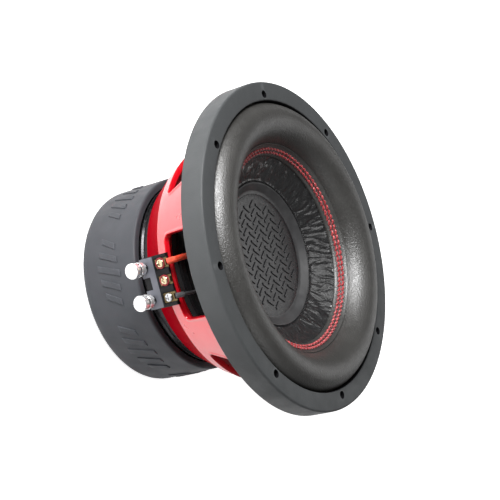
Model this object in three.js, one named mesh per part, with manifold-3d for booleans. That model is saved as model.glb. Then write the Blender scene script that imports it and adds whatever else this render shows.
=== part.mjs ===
// A 12-inch car subwoofer driver, built as an assembly of separate pieces.
// Millimetres, +Z up. The driver stands on its magnet boot: z = 0 is the boot's rear face, and +Z is the
// speaker's axis, from the magnet towards the front. The first terminal block faces -Y.
// The heights below are measured from a datum plane inside the back plate, and the whole group is lifted at the
// end so that the boot's rear face comes to z = 0.
import * as THREE from "three";
import { mergeVertices } from "three/addons/utils/BufferGeometryUtils.js";
import Module from "manifold-3d";

const wasm = await Module();
wasm.setup();

// ---- Driving dimensions ----
const FRONT_R = 159.5; // outer radius of the trim ring
const FRONT_Z = 186; // front face of the trim ring
const SKIRT_Z = 163; // rear edge of the trim ring's skirt, just clear of the panel
const FLANGE_Z = 167; // rear face of the basket flange; a gasket lies between it and the panel
const GAP = 0.3; // clearance left between neighbouring pieces

const HOLES = 8;
const HOLE_CIRCLE_R = 146.9;
const HOLE_R = 3.9;

const FLANGE_T = 5;
const WALL_FOOT = [111, 99]; // [radius, height] of the basket wall's outer face at its foot
const WALL_HEAD = [138.5, FLANGE_Z]; // and where it meets the flange
const FLANGE_R = 152.4;
const RING_INNER_R = 141;

const COIL_R = 38; // inside radius of the voice coil former
const CONE_REST_Z = 147; // height of the cone's face under the dust cap's edge
const CAP_R = 70.7;
const CONE_SLOPE = 0.8;
const CONE_T = 1.6;

const MOTOR_R = 90; // magnets and top plate
const MAGNET_BORE_R = 48;
const COIL_GAP_R = 41.8; // bore of the top plate, outside the windings
const BOOT_R = 97.4;
const BOOT_REAR_Z = -8.5;
const BOOT_TOP_Z = 60;
const BACK_PLATE_Z = [-6.2, 5.5];
const REAR_MAGNET_Z = [5.8, 30.6];
const FRONT_MAGNET_Z = [30.9, 55.7];
const TOP_PLATE_Z = [56, 72.4];

const BASKET_Z = 72.7; // rear face of the basket
const SEAT_T = 5; // thickness of its rear seat
const LEDGE_Z = 92; // seat of the lower spider
const SPOKES = 6;
const WINDOW_HALF_W = 39.5;
const WINDOW_Z = [111, 160];

const TERMINAL_DEG = [-90, 90]; // one block for each voice coil, each under a window
const PLATE_R = 118; // outer face of a terminal plate
const POST_Y = 15; // a block's two push terminals stand this far either side of its middle
const POST_Z = 86.4;
const LUG_Y = 15.8;
const LUG_Z = 106.6;
const SCREW_TIP_R = 115.8;

const FINE = 48; // segments round a large turned piece
const COARSE = 24;
const SMALL = 10;

// ---- Materials ----
const material = (color, roughness, metalness = 0) =>
  new THREE.MeshStandardMaterial({ color, roughness, metalness });
const rubber = material(0x3f4143, 0.75);
const bootRubber = material(0x55585c, 0.7);
const redPaint = material(0xb01018, 0.3, 0.3);
const pulp = material(0x17181a, 0.4);
const gloss = material(0x232427, 0.35);
const redThread = material(0xd02020, 0.8);
const blackSteel = material(0x121214, 0.35, 0.6);
const ferrite = material(0x2a2a2c, 0.8);
const bareSteel = material(0x9a9da0, 0.35, 1);
const chrome = material(0xe6e8ea, 0.12, 1);
const brass = material(0xc9b060, 0.3, 1);
const copper = material(0xb56a3c, 0.4, 1);
const kapton = material(0x1c1a18, 0.5);
const cloth = material(0x15171c, 0.9);
const foam = material(0x1a1a1b, 0.95);
const blackPlastic = material(0x121213, 0.45);
const greyPlastic = material(0x6d7078, 0.5);
const redSleeve = material(0xe2402a, 0.6);
const greySleeve = material(0x4a4a4d, 0.6);

// ---- Helpers ----
const root = new THREE.Group();
const rad = THREE.MathUtils.degToRad;

function node(name, geometry, mat, parent = root) {
  const mesh = new THREE.Mesh(geometry, mat);
  mesh.name = name;
  parent.add(mesh);
  return mesh;
}

// A solid of revolution about +Z from a closed outline of [radius, z] points, in either direction.
function turned(outline, segments = COARSE) {
  const pts = outline.map(([r, z]) => new THREE.Vector2(r, z));
  if (THREE.ShapeUtils.area(pts) < 0) pts.reverse();
  pts.push(pts[0].clone());
  return new THREE.LatheGeometry(pts, segments).rotateX(Math.PI / 2);
}

const ring = (inner, outer, z0, z1, segments) =>
  turned([[inner, z0], [outer, z0], [outer, z1], [inner, z1]], segments);

// A plain cylinder of radius r from z0 to z1, standing at (x, y).
function rod(r, z0, z1, x = 0, y = 0, segments = SMALL) {
  return new THREE.CylinderGeometry(r, r, z1 - z0, segments)
    .rotateX(Math.PI / 2)
    .translate(x, y, (z0 + z1) / 2);
}

// Points of a circular arc, centre (cr, cz), between two angles in degrees.
function arc(cr, cz, radius, from, to, steps) {
  return Array.from({ length: steps + 1 }, (_, i) => {
    const a = rad(from + ((to - from) * i) / steps);
    return [cr + radius * Math.cos(a), cz + radius * Math.sin(a)];
  });
}

function solid(geometry) {
  const bare = geometry.clone();
  bare.deleteAttribute("normal");
  bare.deleteAttribute("uv");
  const merged = mergeVertices(bare, 1e-4);
  return new wasm.Manifold(
    new wasm.Mesh({
      numProp: 3,
      vertProperties: merged.attributes.position.array,
      triVerts: new Uint32Array(merged.index.array),
    }),
  );
}

function geometryOf(manifold) {
  const mesh = manifold.getMesh();
  const geometry = new THREE.BufferGeometry();
  geometry.setAttribute("position", new THREE.BufferAttribute(mesh.vertProperties, 3));
  geometry.setIndex(new THREE.BufferAttribute(mesh.triVerts, 1));
  geometry.computeVertexNormals();
  return geometry;
}

const cut = (geometry, tools) =>
  geometryOf(tools.reduce((left, tool) => left.subtract(solid(tool)), solid(geometry)));
const join = (...geometries) =>
  geometryOf(geometries.map(solid).reduce((left, right) => left.add(right)));

const aroundAxis = (count, start, place) =>
  Array.from({ length: count }, (_, i) => place(rad(start + (360 * i) / count), i));

// The eight mounting holes, as cutting tools of radius r between two heights.
const mountingHoles = (r, z0, z1) =>
  aroundAxis(HOLES, -90, (a) =>
    rod(r, z0, z1, HOLE_CIRCLE_R * Math.cos(a), HOLE_CIRCLE_R * Math.sin(a)),
  );

// ---- Front: trim ring, flange gasket, surround ----
const LIP_Z = FLANGE_Z + FLANGE_T + GAP; // underside of the surround's outer lip
const LIP_T = 2;
const LIP_R = 142.2;

function trimRing() {
  const fillet = 2;
  const chamfer = 1.2;
  const skirt = FLANGE_R + GAP;
  const over = LIP_Z + LIP_T + GAP;
  const body = turned(
    [
      [RING_INNER_R, over],
      [LIP_R + GAP, over],
      [LIP_R + GAP, LIP_Z],
      [skirt, LIP_Z],
      [skirt, SKIRT_Z],
      [FRONT_R, SKIRT_Z],
      ...arc(FRONT_R - fillet, FRONT_Z - fillet, fillet, 0, 90, 2),
      [RING_INNER_R + chamfer, FRONT_Z],
      [RING_INNER_R, FRONT_Z - chamfer],
    ],
    FINE,
  );
  return cut(body, mountingHoles(HOLE_R, LIP_Z - 1, FRONT_Z + 1));
}

function flangeGasket() {
  const body = ring(WALL_HEAD[0] + 1, FLANGE_R, SKIRT_Z - GAP, FLANGE_Z - GAP, FINE);
  return cut(body, mountingHoles(HOLE_R, SKIRT_Z - 1, FLANGE_Z + 1));
}

// Height of the cone's front face at radius r.
const coneZ = (r) => CONE_REST_Z + (r - CAP_R) * CONE_SLOPE;
const SEAM_GAP = 0.4; // between the cone's face and the surround's inner lip
const INNER_LIP_R = [91.5, 102];
const CONE_RIM_R = 100.5;
const STITCH_R = [94.4, 97.3];
const SURROUND_T = 2;
const ROLL = { outer: 140, outerZ: 180.5, crest: 16, lean: rad(20) };

// The half roll's front face, from its outer foot over the crest to its inner foot. It stands on its feet at a
// lean, so that neither side starts quite upright.
function rollFace(offset, steps) {
  const innerZ = coneZ(INNER_LIP_R[1]) + SEAM_GAP + SURROUND_T;
  const midR = (ROLL.outer + INNER_LIP_R[1]) / 2;
  const midZ = (ROLL.outerZ + innerZ) / 2;
  const half = (ROLL.outer - INNER_LIP_R[1]) / 2;
  const tilt = (ROLL.outerZ - innerZ) / 2;
  return Array.from({ length: steps + 1 }, (_, i) => {
    const a = ROLL.lean + ((Math.PI - 2 * ROLL.lean) * i) / steps;
    const across = Math.cos(a) / Math.cos(ROLL.lean);
    const rise = (Math.sin(a) - Math.sin(ROLL.lean)) / (1 - Math.sin(ROLL.lean));
    return [midR + (half - offset) * across, midZ + tilt * across + (ROLL.crest - offset) * rise];
  });
}

function surround() {
  const steps = 6;
  const lift = SEAM_GAP + SURROUND_T;
  return turned(
    [
      [LIP_R, LIP_Z],
      [LIP_R, LIP_Z + LIP_T],
      [ROLL.outer, LIP_Z + LIP_T],
      ...rollFace(0, steps),
      [INNER_LIP_R[0], coneZ(INNER_LIP_R[0]) + lift],
      [INNER_LIP_R[0], coneZ(INNER_LIP_R[0]) + SEAM_GAP],
      [INNER_LIP_R[1] + 1, coneZ(INNER_LIP_R[1] + 1) + SEAM_GAP],
      ...rollFace(SURROUND_T, steps).reverse(),
      [ROLL.outer - SURROUND_T, LIP_Z],
    ],
    FINE,
  );
}

// ---- Moving assembly: cone, dust cap, stitching, former and windings ----
const FORMER_T = 0.8;
const FORMER_Z = [38, 122];
const WINDING_Z = [39, 88];
const WINDING_T = 0.9;

function cone() {
  const neck = COIL_R + FORMER_T + GAP;
  const rim = CONE_RIM_R;
  return turned(
    [
      [neck, coneZ(neck)],
      [rim, coneZ(rim)],
      [rim, coneZ(rim) - CONE_T],
      [neck + 1.5, coneZ(neck + 1.5) - CONE_T],
      [neck + 1.5, coneZ(neck) - 6],
      [neck, coneZ(neck) - 6],
    ],
    FINE,
  );
}

// A dished cap: a sloping band that carries on down the cone, and a shallow hollow face inside it.
function dustCap() {
  const t = 1.3;
  const lift = GAP + 0.1;
  const dishR = 62;
  const face = (r) => 139.6 + 2.4 * (r / dishR) ** 2;
  const radii = [0, 24, 46];
  return turned(
    [
      ...radii.map((r) => [r, face(r)]),
      [dishR, face(dishR)],
      [dishR + 1.2, coneZ(dishR + 1.2) + lift + t],
      [CAP_R - 0.8, coneZ(CAP_R - 0.8) + lift + t],
      [CAP_R, coneZ(CAP_R) + lift],
      [dishR + 0.4, coneZ(dishR + 0.4) + lift],
      [dishR - 1.2, face(dishR - 1.2) - t],
      ...radii.reverse().map((r) => [r, face(r) - t]),
    ],
    COARSE,
  );
}

// One row of red thread, as a thin ring that lies on the surround's inner lip.
function stitchRow(radius) {
  const thread = 0.9;
  const height = coneZ(radius) + SEAM_GAP + SURROUND_T + thread + GAP;
  return turned(arc(radius, height, thread, 0, 270, 3), FINE);
}

// ---- Suspension: two corrugated spiders with a spacer between them ----
const SPIDER_RIM_R = [84.6, 91];
const SPIDER_T = 0.8;

function spider(z) {
  const folds = 6;
  const inner = COIL_R + FORMER_T + GAP;
  const first = inner + 6;
  const fold = Array.from({ length: folds + 1 }, (_, i) => [
    first + ((SPIDER_RIM_R[0] - first) * i) / folds,
    z + (i % 2 && i < folds ? 2.4 : 0),
  ]);
  const middle = [[inner, z], ...fold, [SPIDER_RIM_R[1], z]];
  return turned(
    [...middle, ...middle.map(([r, height]) => [r, height + SPIDER_T]).reverse()],
    COARSE,
  );
}

const LOWER_SPIDER_Z = LEDGE_Z + GAP;
const UPPER_SPIDER_Z = 99.4;

// ---- Basket: flange, flared wall with windows, and a rear seat for the motor ----
const WALL_T = 4;
const WALL_SLOPE = (WALL_HEAD[0] - WALL_FOOT[0]) / (WALL_HEAD[1] - WALL_FOOT[1]);
const wallR = (z) => WALL_FOOT[0] + (z - WALL_FOOT[1]) * WALL_SLOPE;

function basket() {
  const rearR = 95;
  const boreR = 56;
  const ledgeR = SPIDER_RIM_R[1] + 0.6;
  const ledgeTopZ = UPPER_SPIDER_Z + 1;
  const body = turned(
    [
      [boreR, BASKET_Z],
      [rearR - 1, BASKET_Z],
      [rearR, BASKET_Z + 1],
      [WALL_FOOT[0] - 0.6, WALL_FOOT[1] - 0.8],
      [WALL_FOOT[0], WALL_FOOT[1]],
      [WALL_HEAD[0], WALL_HEAD[1]],
      [FLANGE_R, FLANGE_Z],
      [FLANGE_R, FLANGE_Z + FLANGE_T],
      [WALL_HEAD[0] - WALL_T + 1, FLANGE_Z + FLANGE_T],
      [wallR(ledgeTopZ + 2) - WALL_T, ledgeTopZ + 2],
      [wallR(ledgeTopZ) - WALL_T - 3, ledgeTopZ],
      [ledgeR, ledgeTopZ],
      [ledgeR, LEDGE_Z],
      [84, LEDGE_Z],
      [84, BASKET_Z + SEAT_T + 2],
      [82, BASKET_Z + SEAT_T],
      [boreR, BASKET_Z + SEAT_T],
    ],
    FINE,
  );
  const windows = aroundAxis(SPOKES, -90, windowTool);
  const bolts = boltPlaces((x, y) => rod(BOLT_R + 0.6, BASKET_Z - 1, BASKET_Z + SEAT_T + 1, x, y));
  return cut(body, [...windows, ...bolts, ...mountingHoles(HOLE_R - 0.6, FLANGE_Z - 1, FLANGE_Z + 8)]);
}

// A window's cutting tool: a slot with parallel sides and rounded corners, driven outwards through the wall.
function windowTool(middle) {
  const corner = 6;
  const [low, high] = WINDOW_Z;
  const w = WINDOW_HALF_W;
  const outline = new THREE.Shape();
  outline.absarc(w - corner, low + corner, corner, -Math.PI / 2, 0, false);
  outline.absarc(w - corner, high - corner, corner, 0, Math.PI / 2, false);
  outline.absarc(corner - w, high - corner, corner, Math.PI / 2, Math.PI, false);
  outline.absarc(corner - w, low + corner, corner, Math.PI, 1.5 * Math.PI, false);
  outline.closePath();
  return new THREE.ExtrudeGeometry(outline, { depth: 80, curveSegments: 3, bevelEnabled: false })
    .rotateX(Math.PI / 2)
    .rotateZ(Math.PI / 2)
    .translate(80, 0, 0)
    .rotateZ(middle);
}

// ---- Motor: plates, magnets, pole, shorting ring, boot and vent screen ----
const BOLT_R = 2.6;
const BOLT_CIRCLE_R = 70;
const POLE_R = 36.2;
const POLE_TOP_Z = 75.4;
const VENT_R = 14;
const POLE_SEAT_R = 30;

const boltPlaces = (make) =>
  aroundAxis(SPOKES, -90 + 180 / SPOKES, (a, i) =>
    make(BOLT_CIRCLE_R * Math.cos(a), BOLT_CIRCLE_R * Math.sin(a), i),
  );

function topPlate() {
  const step = 1.6;
  const stepZ = 6.4;
  const chamfer = 1.2;
  const [low, high] = TOP_PLATE_Z;
  const body = turned(
    [
      [COIL_GAP_R, low],
      [MOTOR_R, low],
      [MOTOR_R, low + stepZ],
      [MOTOR_R - step, low + stepZ + step],
      [MOTOR_R - step, high - chamfer],
      [MOTOR_R - step - chamfer, high],
      [COIL_GAP_R, high],
    ],
    FINE,
  );
  return cut(body, boltPlaces((x, y) => rod(BOLT_R + 0.4, high - 11, high + 1, x, y)));
}

function polePiece() {
  const flare = 5;
  const [low, seat] = BACK_PLATE_Z;
  return turned([
    [VENT_R + flare, low],
    [POLE_SEAT_R, low],
    [POLE_SEAT_R, seat + GAP],
    [POLE_R, seat + GAP],
    [POLE_R, POLE_TOP_Z - 2],
    [POLE_R - 2, POLE_TOP_Z],
    [VENT_R + flare, POLE_TOP_Z],
    [VENT_R, POLE_TOP_Z - flare],
    [VENT_R, low + flare],
  ]);
}

function boot() {
  const wall = MOTOR_R + GAP;
  const back = 11;
  const front = 3;
  const rear = BACK_PLATE_Z[0] - GAP;
  const openingR = 34;
  return turned(
    [
      [openingR, BOOT_REAR_Z],
      ...arc(BOOT_R - back, BOOT_REAR_Z + back, back, -90, 0, 3),
      ...arc(BOOT_R - front, BOOT_TOP_Z - front, front, 0, 90, 2),
      [wall, BOOT_TOP_Z],
      [wall, rear],
      [openingR, rear],
    ],
    FINE,
  );
}

// A disc with a ring of holes and one in the middle, across the rear of the pole's vent.
function ventScreen() {
  const low = BACK_PLATE_Z[0] + 6.5;
  const high = low + 1.2;
  const hole = (x, y) => rod(2.6, low - 1, high + 1, x, y, 6);
  const around = aroundAxis(6, 0, (a) => hole(8 * Math.cos(a), 8 * Math.sin(a)));
  return cut(rod(VENT_R - GAP, low, high, 0, 0, COARSE), [...around, hole(0, 0)]);
}

function basketBolt(x, y) {
  const seat = BASKET_Z + SEAT_T + GAP;
  const hexHead = rod(4.4, seat, seat + 3.4, x, y, 6);
  return join(rod(BOLT_R, TOP_PLATE_Z[1] - 10, seat + 1, x, y, 12), hexHead);
}

// ---- Terminal blocks ----
// A block is built with +X outwards from the speaker's axis, +Y round it and +Z forwards.
const along = (geometry, y, z) => geometry.rotateY(Math.PI / 2).translate(0, y, z);
// A rod that points outwards, from radius x0 to radius x1.
const spoke = (r, x0, x1, y, z, segments = SMALL) =>
  along(rod(r, x0, x1, 0, 0, segments), y, z);
// A piece turned about an outward axis, from an outline of [radius, distance] points.
const turnedOut = (outline, y, z, segments = SMALL) => along(turned(outline, segments), y, z);

const TRAVEL = 3; // how far a push cap goes in
const POST_TIP_R = PLATE_R + 13.1; // distance of a post's tip from the speaker's axis
const CAP_ROOF_R = PLATE_R + 18.3; // and of the underside of its cap's roof
const BASE_X = [PLATE_R - 8.2, PLATE_R - 2 - GAP];
const BASE_HALF_Y = 24;
const PLATE_Z = [82.1, 97.8];
const SHELF_R = PLATE_R + 1.8; // outer face of the base's forward part, which holds the lugs
const SHELF_TOP_Z = 113.4;
const SHELF_DEPTH = 1.4;
const LUG_X = [SHELF_R - SHELF_DEPTH + GAP, SHELF_R - SHELF_DEPTH + GAP + 1];

function box(x, y, z) {
  return new THREE.BoxGeometry(x[1] - x[0], y[1] - y[0], z[1] - z[0]).translate(
    (x[0] + x[1]) / 2,
    (y[0] + y[1]) / 2,
    (z[0] + z[1]) / 2,
  );
}

const bothPosts = (make) => [-POST_Y, POST_Y].map(make);
const lugPlaces = [-LUG_Y, 0, LUG_Y];

// The black base: a back behind the plate, and a thicker forward part with a pocket for each lug. It is
// hollowed to follow the basket's wall.
function terminalBase() {
  const sides = [-BASE_HALF_Y, BASE_HALF_Y];
  const body = join(
    box(BASE_X, sides, [PLATE_Z[0], SHELF_TOP_Z - 5]),
    box([BASE_X[0], SHELF_R], sides, [PLATE_Z[1] + GAP, SHELF_TOP_Z]),
  );
  const pockets = lugPlaces.map((y) =>
    box([SHELF_R - SHELF_DEPTH, SHELF_R + 1], [y - 5.4, y + 5.4], [PLATE_Z[1] + 2, SHELF_TOP_Z + 1]),
  );
  const stems = bothPosts((y) => spoke(3.4, BASE_X[0] - 1, BASE_X[1] + 1, y, POST_Z));
  const screws = lugPlaces.map((y) => spoke(1.6, SCREW_TIP_R - GAP, SHELF_R, y, LUG_Z, 10));
  const clearance = 0.5;
  const top = SHELF_TOP_Z + 2;
  const wall = turned(
    [
      [95, BASKET_Z],
      [WALL_FOOT[0] + clearance, WALL_FOOT[1] - clearance],
      [wallR(top) + clearance, top],
      [95, top],
    ],
    FINE,
  );
  return cut(body, [...pockets, ...stems, ...screws, wall]);
}

// The grey plate: a U whose two arms carry the push terminals.
function terminalPlate() {
  const x = [PLATE_R - 2, PLATE_R];
  const body = box(x, [-23.5, 23.5], PLATE_Z);
  const notch = box([x[0] - 1, x[1] + 1], [-5.8, 5.8], [PLATE_Z[0] - 1, PLATE_Z[0] + 7.8]);
  const posts = bothPosts((y) => spoke(3.4, x[0] - 1, x[1] + 1, y, POST_Z));
  return cut(body, [notch, ...posts]);
}

// A post: a stem through the plate, a collar on it, and a barrel with a cross hole for the wire.
function pushPost(y) {
  const foot = PLATE_R + GAP;
  const body = turnedOut(
    [
      [0, BASE_X[0] - 0.6],
      [3, BASE_X[0] - 0.6],
      [3, foot],
      [4.2, foot],
      [4.2, foot + 3],
      [5.4, foot + 3],
      [5.4, POST_TIP_R - 0.8],
      [4.6, POST_TIP_R],
      [0, POST_TIP_R],
    ],
    y,
    POST_Z,
  );
  const wireHole = rod(1.5, POST_Z - 9, POST_Z + 9, foot + 4.9, y, 8);
  return cut(body, [wireHole]);
}

// A cap: a cup that slides down over the barrel against its spring.
function pushCap(y) {
  const mouth = PLATE_R + GAP + 3 + TRAVEL + 0.4;
  return turnedOut(
    [
      [5.8, mouth],
      [6.9, mouth],
      [6.9, mouth + 5.4],
      [6.2, mouth + 5.8],
      [6.2, mouth + 7.4],
      [7.3, mouth + 7.8],
      [7.3, CAP_ROOF_R + 1.2],
      [6.3, CAP_ROOF_R + 2.2],
      [0, CAP_ROOF_R + 2.2],
      [0, CAP_ROOF_R],
      [5.8, CAP_ROOF_R],
    ],
    y,
    POST_Z,
  );
}

// A short coil spring between the barrel's end and the cap's roof.
class Helix extends THREE.Curve {
  constructor(radius, x0, x1, turns, y, z) {
    super();
    Object.assign(this, { radius, x0, x1, turns, y, z });
  }
  getPoint(t, target = new THREE.Vector3()) {
    const a = 2 * Math.PI * this.turns * t;
    return target.set(
      this.x0 + (this.x1 - this.x0) * t,
      this.y + this.radius * Math.cos(a),
      this.z + this.radius * Math.sin(a),
    );
  }
}

function swept(curve, radius, steps, sides = 8) {
  const circle = new THREE.Shape();
  circle.absarc(0, 0, radius, 0, 2 * Math.PI, false);
  return new THREE.ExtrudeGeometry(circle, {
    steps,
    curveSegments: sides,
    bevelEnabled: false,
    extrudePath: curve,
  });
}

const pushSpring = (y) => swept(new Helix(3.6, POST_TIP_R + 0.7, CAP_ROOF_R - 0.7, 2, y, POST_Z), 0.35, 12, 2);

// A solder lug: a flat tab with a raised wing towards the window.
function lug(y) {
  const [low, high] = LUG_X;
  const tip = SHELF_TOP_Z + 1;
  const tab = box([low, high], [y - 4.4, y + 4.4], [tip - 13.8, tip]);
  const wing = box([low, high + 3.4], [y - 2.6, y + 2.6], [tip - 1.1, tip]);
  const hole = spoke(1.9, low - 1, high + 1, y, LUG_Z, 10);
  return cut(join(tab, wing), [hole]);
}

function lugScrew(y) {
  const seat = LUG_X[1] + GAP;
  const body = join(
    spoke(1.3, SCREW_TIP_R, seat + 1, y, LUG_Z, 10),
    turnedOut([[0, seat], [3.9, seat], [3.9, seat + 1.4], [2.9, seat + 2.6], [0, seat + 2.6]], y, LUG_Z),
  );
  const slot = box([seat + 1.6, seat + 4], [y - 0.5, y + 0.5], [LUG_Z - 5, LUG_Z + 5]);
  return cut(body, [slot]);
}

// A tinsel lead from a lug, in through the window and over the spider to the cone's neck.
function lead(y, sag) {
  const path = new THREE.CatmullRomCurve3([
    new THREE.Vector3(LUG_X[1] + 2.1, y, 116.6),
    new THREE.Vector3(115, y * 1.02, 121.5),
    new THREE.Vector3(97, y * 1.05, 121 - sag),
    new THREE.Vector3(73, y * 0.95, 114 - sag),
    new THREE.Vector3(54, y * 0.8, 114),
    new THREE.Vector3(43, y * 0.6, 117),
  ]);
  return swept(path, 1.7, 10, 3);
}

function terminalBlock(letter, degrees) {
  const block = new THREE.Group();
  block.rotation.z = rad(degrees);
  root.add(block);
  const add = (name, geometry, mat) => node(`${name}_${letter}`, geometry, mat, block);
  add("terminal_base", terminalBase(), blackPlastic);
  add("terminal_plate", terminalPlate(), greyPlastic);
  bothPosts((y, i) => {
    add(`push_post_${i + 1}`, pushPost(y), chrome);
    add(`push_cap_${i + 1}`, pushCap(y), chrome);
    add(`push_spring_${i + 1}`, pushSpring(y), bareSteel);
  });
  lugPlaces.forEach((y, i) => {
    add(`solder_lug_${i + 1}`, lug(y), brass);
    add(`lug_screw_${i + 1}`, lugScrew(y), brass);
  });
  add("tinsel_lead_positive", lead(-LUG_Y, 0), redSleeve);
  add("tinsel_lead_negative", lead(LUG_Y, 1.5), greySleeve);
}

// ---- Assembly ----
node("trim_ring", trimRing(), rubber);
node("flange_gasket", flangeGasket(), foam);
node("surround", surround(), rubber);
node("cone", cone(), pulp);
node("dust_cap", dustCap(), gloss);
node("stitch_row_outer", stitchRow(STITCH_R[1]), redThread);
node("stitch_row_inner", stitchRow(STITCH_R[0]), redThread);

node("coil_former", ring(COIL_R, COIL_R + FORMER_T, ...FORMER_Z, COARSE), kapton);
const windingR = COIL_R + FORMER_T + 0.1;
node("inner_winding", ring(windingR, windingR + WINDING_T, ...WINDING_Z, COARSE), copper);
const outerR = windingR + WINDING_T + 0.1;
node("outer_winding", ring(outerR, outerR + WINDING_T, ...WINDING_Z, COARSE), copper);

node("basket", basket(), redPaint);
node("lower_spider", spider(LOWER_SPIDER_Z), cloth);
node(
  "spider_spacer",
  ring(...SPIDER_RIM_R, LOWER_SPIDER_Z + SPIDER_T + GAP, UPPER_SPIDER_Z - GAP, COARSE),
  blackPlastic,
);
node("upper_spider", spider(UPPER_SPIDER_Z), cloth);

node("top_plate", topPlate(), blackSteel);
node("front_magnet", ring(MAGNET_BORE_R, MOTOR_R, ...FRONT_MAGNET_Z, FINE), ferrite);
node("rear_magnet", ring(MAGNET_BORE_R, MOTOR_R, ...REAR_MAGNET_Z, FINE), ferrite);
node("back_plate", ring(POLE_SEAT_R + GAP, MOTOR_R, ...BACK_PLATE_Z, FINE), blackSteel);
node("pole_piece", polePiece(), bareSteel);
node("shorting_ring", ring(POLE_R + GAP, COIL_R - 0.6, 50, POLE_TOP_Z - 2, COARSE), copper);
node("magnet_boot", boot(), bootRubber);
node("vent_screen", ventScreen(), blackSteel);
boltPlaces((x, y, i) => node(`basket_bolt_${i + 1}`, basketBolt(x, y), blackSteel));

TERMINAL_DEG.forEach((degrees, i) => terminalBlock("ab"[i], degrees));

root.position.z = -BOOT_REAR_Z;
export default root;
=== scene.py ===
"""The looks of a 12-inch car subwoofer driver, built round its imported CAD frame.

Lengths in the code are millimetres in the frame's axes, with heights measured from a datum plane inside the
back plate, BOOT_REAR_Z in front of the boot's rear face. The first terminal block faces -Y. in_frame() turns
them into metres in the frame.
"""

import math

import bmesh
import bpy
import numpy as np
from mathutils import Matrix, Quaternion, Vector, noise


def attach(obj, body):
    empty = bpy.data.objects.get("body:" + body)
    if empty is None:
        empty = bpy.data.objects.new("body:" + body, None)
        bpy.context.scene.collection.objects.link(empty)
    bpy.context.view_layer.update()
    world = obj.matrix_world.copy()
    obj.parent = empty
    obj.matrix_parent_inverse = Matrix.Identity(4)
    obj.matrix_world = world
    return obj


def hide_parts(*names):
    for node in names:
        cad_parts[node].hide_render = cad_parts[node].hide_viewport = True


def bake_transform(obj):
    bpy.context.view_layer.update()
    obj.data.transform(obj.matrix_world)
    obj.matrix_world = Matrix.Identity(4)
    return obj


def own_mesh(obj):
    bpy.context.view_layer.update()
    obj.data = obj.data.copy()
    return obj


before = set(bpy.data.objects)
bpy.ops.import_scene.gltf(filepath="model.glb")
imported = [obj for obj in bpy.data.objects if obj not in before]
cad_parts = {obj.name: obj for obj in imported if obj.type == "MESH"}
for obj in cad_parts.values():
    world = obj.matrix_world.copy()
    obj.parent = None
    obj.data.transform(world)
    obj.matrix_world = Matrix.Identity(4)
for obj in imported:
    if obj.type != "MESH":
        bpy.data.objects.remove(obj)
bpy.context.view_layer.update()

MM = 0.001
TAU = 2 * math.pi
FIXED = "frame"
MOVING = "cone_assembly"

# ---- Dimensions shared with the CAD frame, in millimetres ----
FRONT_R, FRONT_Z = 159.5, 186.0
SKIRT_Z = 163.0
RING_INNER_R = 141.0
HOLES, HOLE_CIRCLE_R, HOLE_R = 8, 146.9, 3.9
FLANGE_R, FLANGE_Z, FLANGE_T = 152.4, 167.0, 5.0
LIP_Z, LIP_R = 172.3, 142.2
WALL_FOOT, WALL_HEAD, WALL_T = (111.0, 99.0), (138.5, 167.0), 4.0
SPOKES, WINDOW_HALF_W = 6, 39.5
WINDOW_Z = (111.0, 160.0)
BASKET_Z, SEAT_T = 72.7, 5.0
BOOT_R, BOOT_REAR_Z, BOOT_TOP_Z = 97.4, -8.5, 60.0
BACK_PLATE_Z = (-6.2, 5.5)
TOP_PLATE_Z = (56.0, 72.4)
POLE_TOP_Z = 75.4
CAP_R, CONE_REST_Z, CONE_SLOPE = 70.7, 147.0, 0.8
INNER_LIP_R = (91.5, 102.0)
CONE_RIM_R = 100.5
STITCH_R = (94.4, 97.3)
FORMER_R = 38.8
LOWER_SPIDER_Z, UPPER_SPIDER_Z = 92.3, 99.4
TERMINAL_DEG = {"a": -90.0, "b": 90.0}
PLATE_R = 118.0
POST_Y, POST_Z = 15.0, 86.4
LUG_Y, LUG_Z = 15.8, 106.6

# ---- The camera: a long lens, rolled so that the speaker's axis lies to the right ----
VIEW_ELEVATION = 31.9
VIEW_AZIMUTH = 0.44
VIEW_ROLL = 75.2
VIEW_DISTANCE = 1221.0
VIEW_TARGET = (-7.5, -27.0, 144.0)
VIEW_LENS = 93.0


def in_frame(point):
    return Vector((point[0], point[1], point[2] - BOOT_REAR_Z)) * MM


# ---- Meshes ----
def mesh_piece(name, points, faces, sharp=35.0):
    """A smooth-shaded object from points in millimetres, with edges sharper than that angle kept."""
    mesh = bpy.data.meshes.new(name)
    mesh.from_pydata([in_frame(p) for p in points], [], faces)
    work = bmesh.new()
    work.from_mesh(mesh)
    bmesh.ops.remove_doubles(work, verts=work.verts, dist=2e-6)
    # An outline that closes along the axis leaves a bare edge there.
    bare = [edge for edge in work.edges if not edge.link_faces]
    bmesh.ops.delete(work, geom=bare, context="EDGES")
    bmesh.ops.recalc_face_normals(work, faces=work.faces)
    work.to_mesh(mesh)
    work.free()
    mesh.shade_smooth()
    mesh.set_sharp_from_angle(angle=math.radians(sharp))
    piece = bpy.data.objects.new(name, mesh)
    bpy.context.scene.collection.objects.link(piece)
    return piece


def dress(piece, body, slot, look, *nodes):
    """Gives a piece its body and material, and hides the CAD nodes it stands for. Its slot argument is not
    used.
    """
    piece.data.materials.clear()
    piece.data.materials.append(look)
    if body:
        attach(piece, body)
    if nodes:
        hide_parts(*nodes)
    return piece


def polar(r, z, a):
    return (r * math.cos(a), r * math.sin(a), z)


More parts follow.
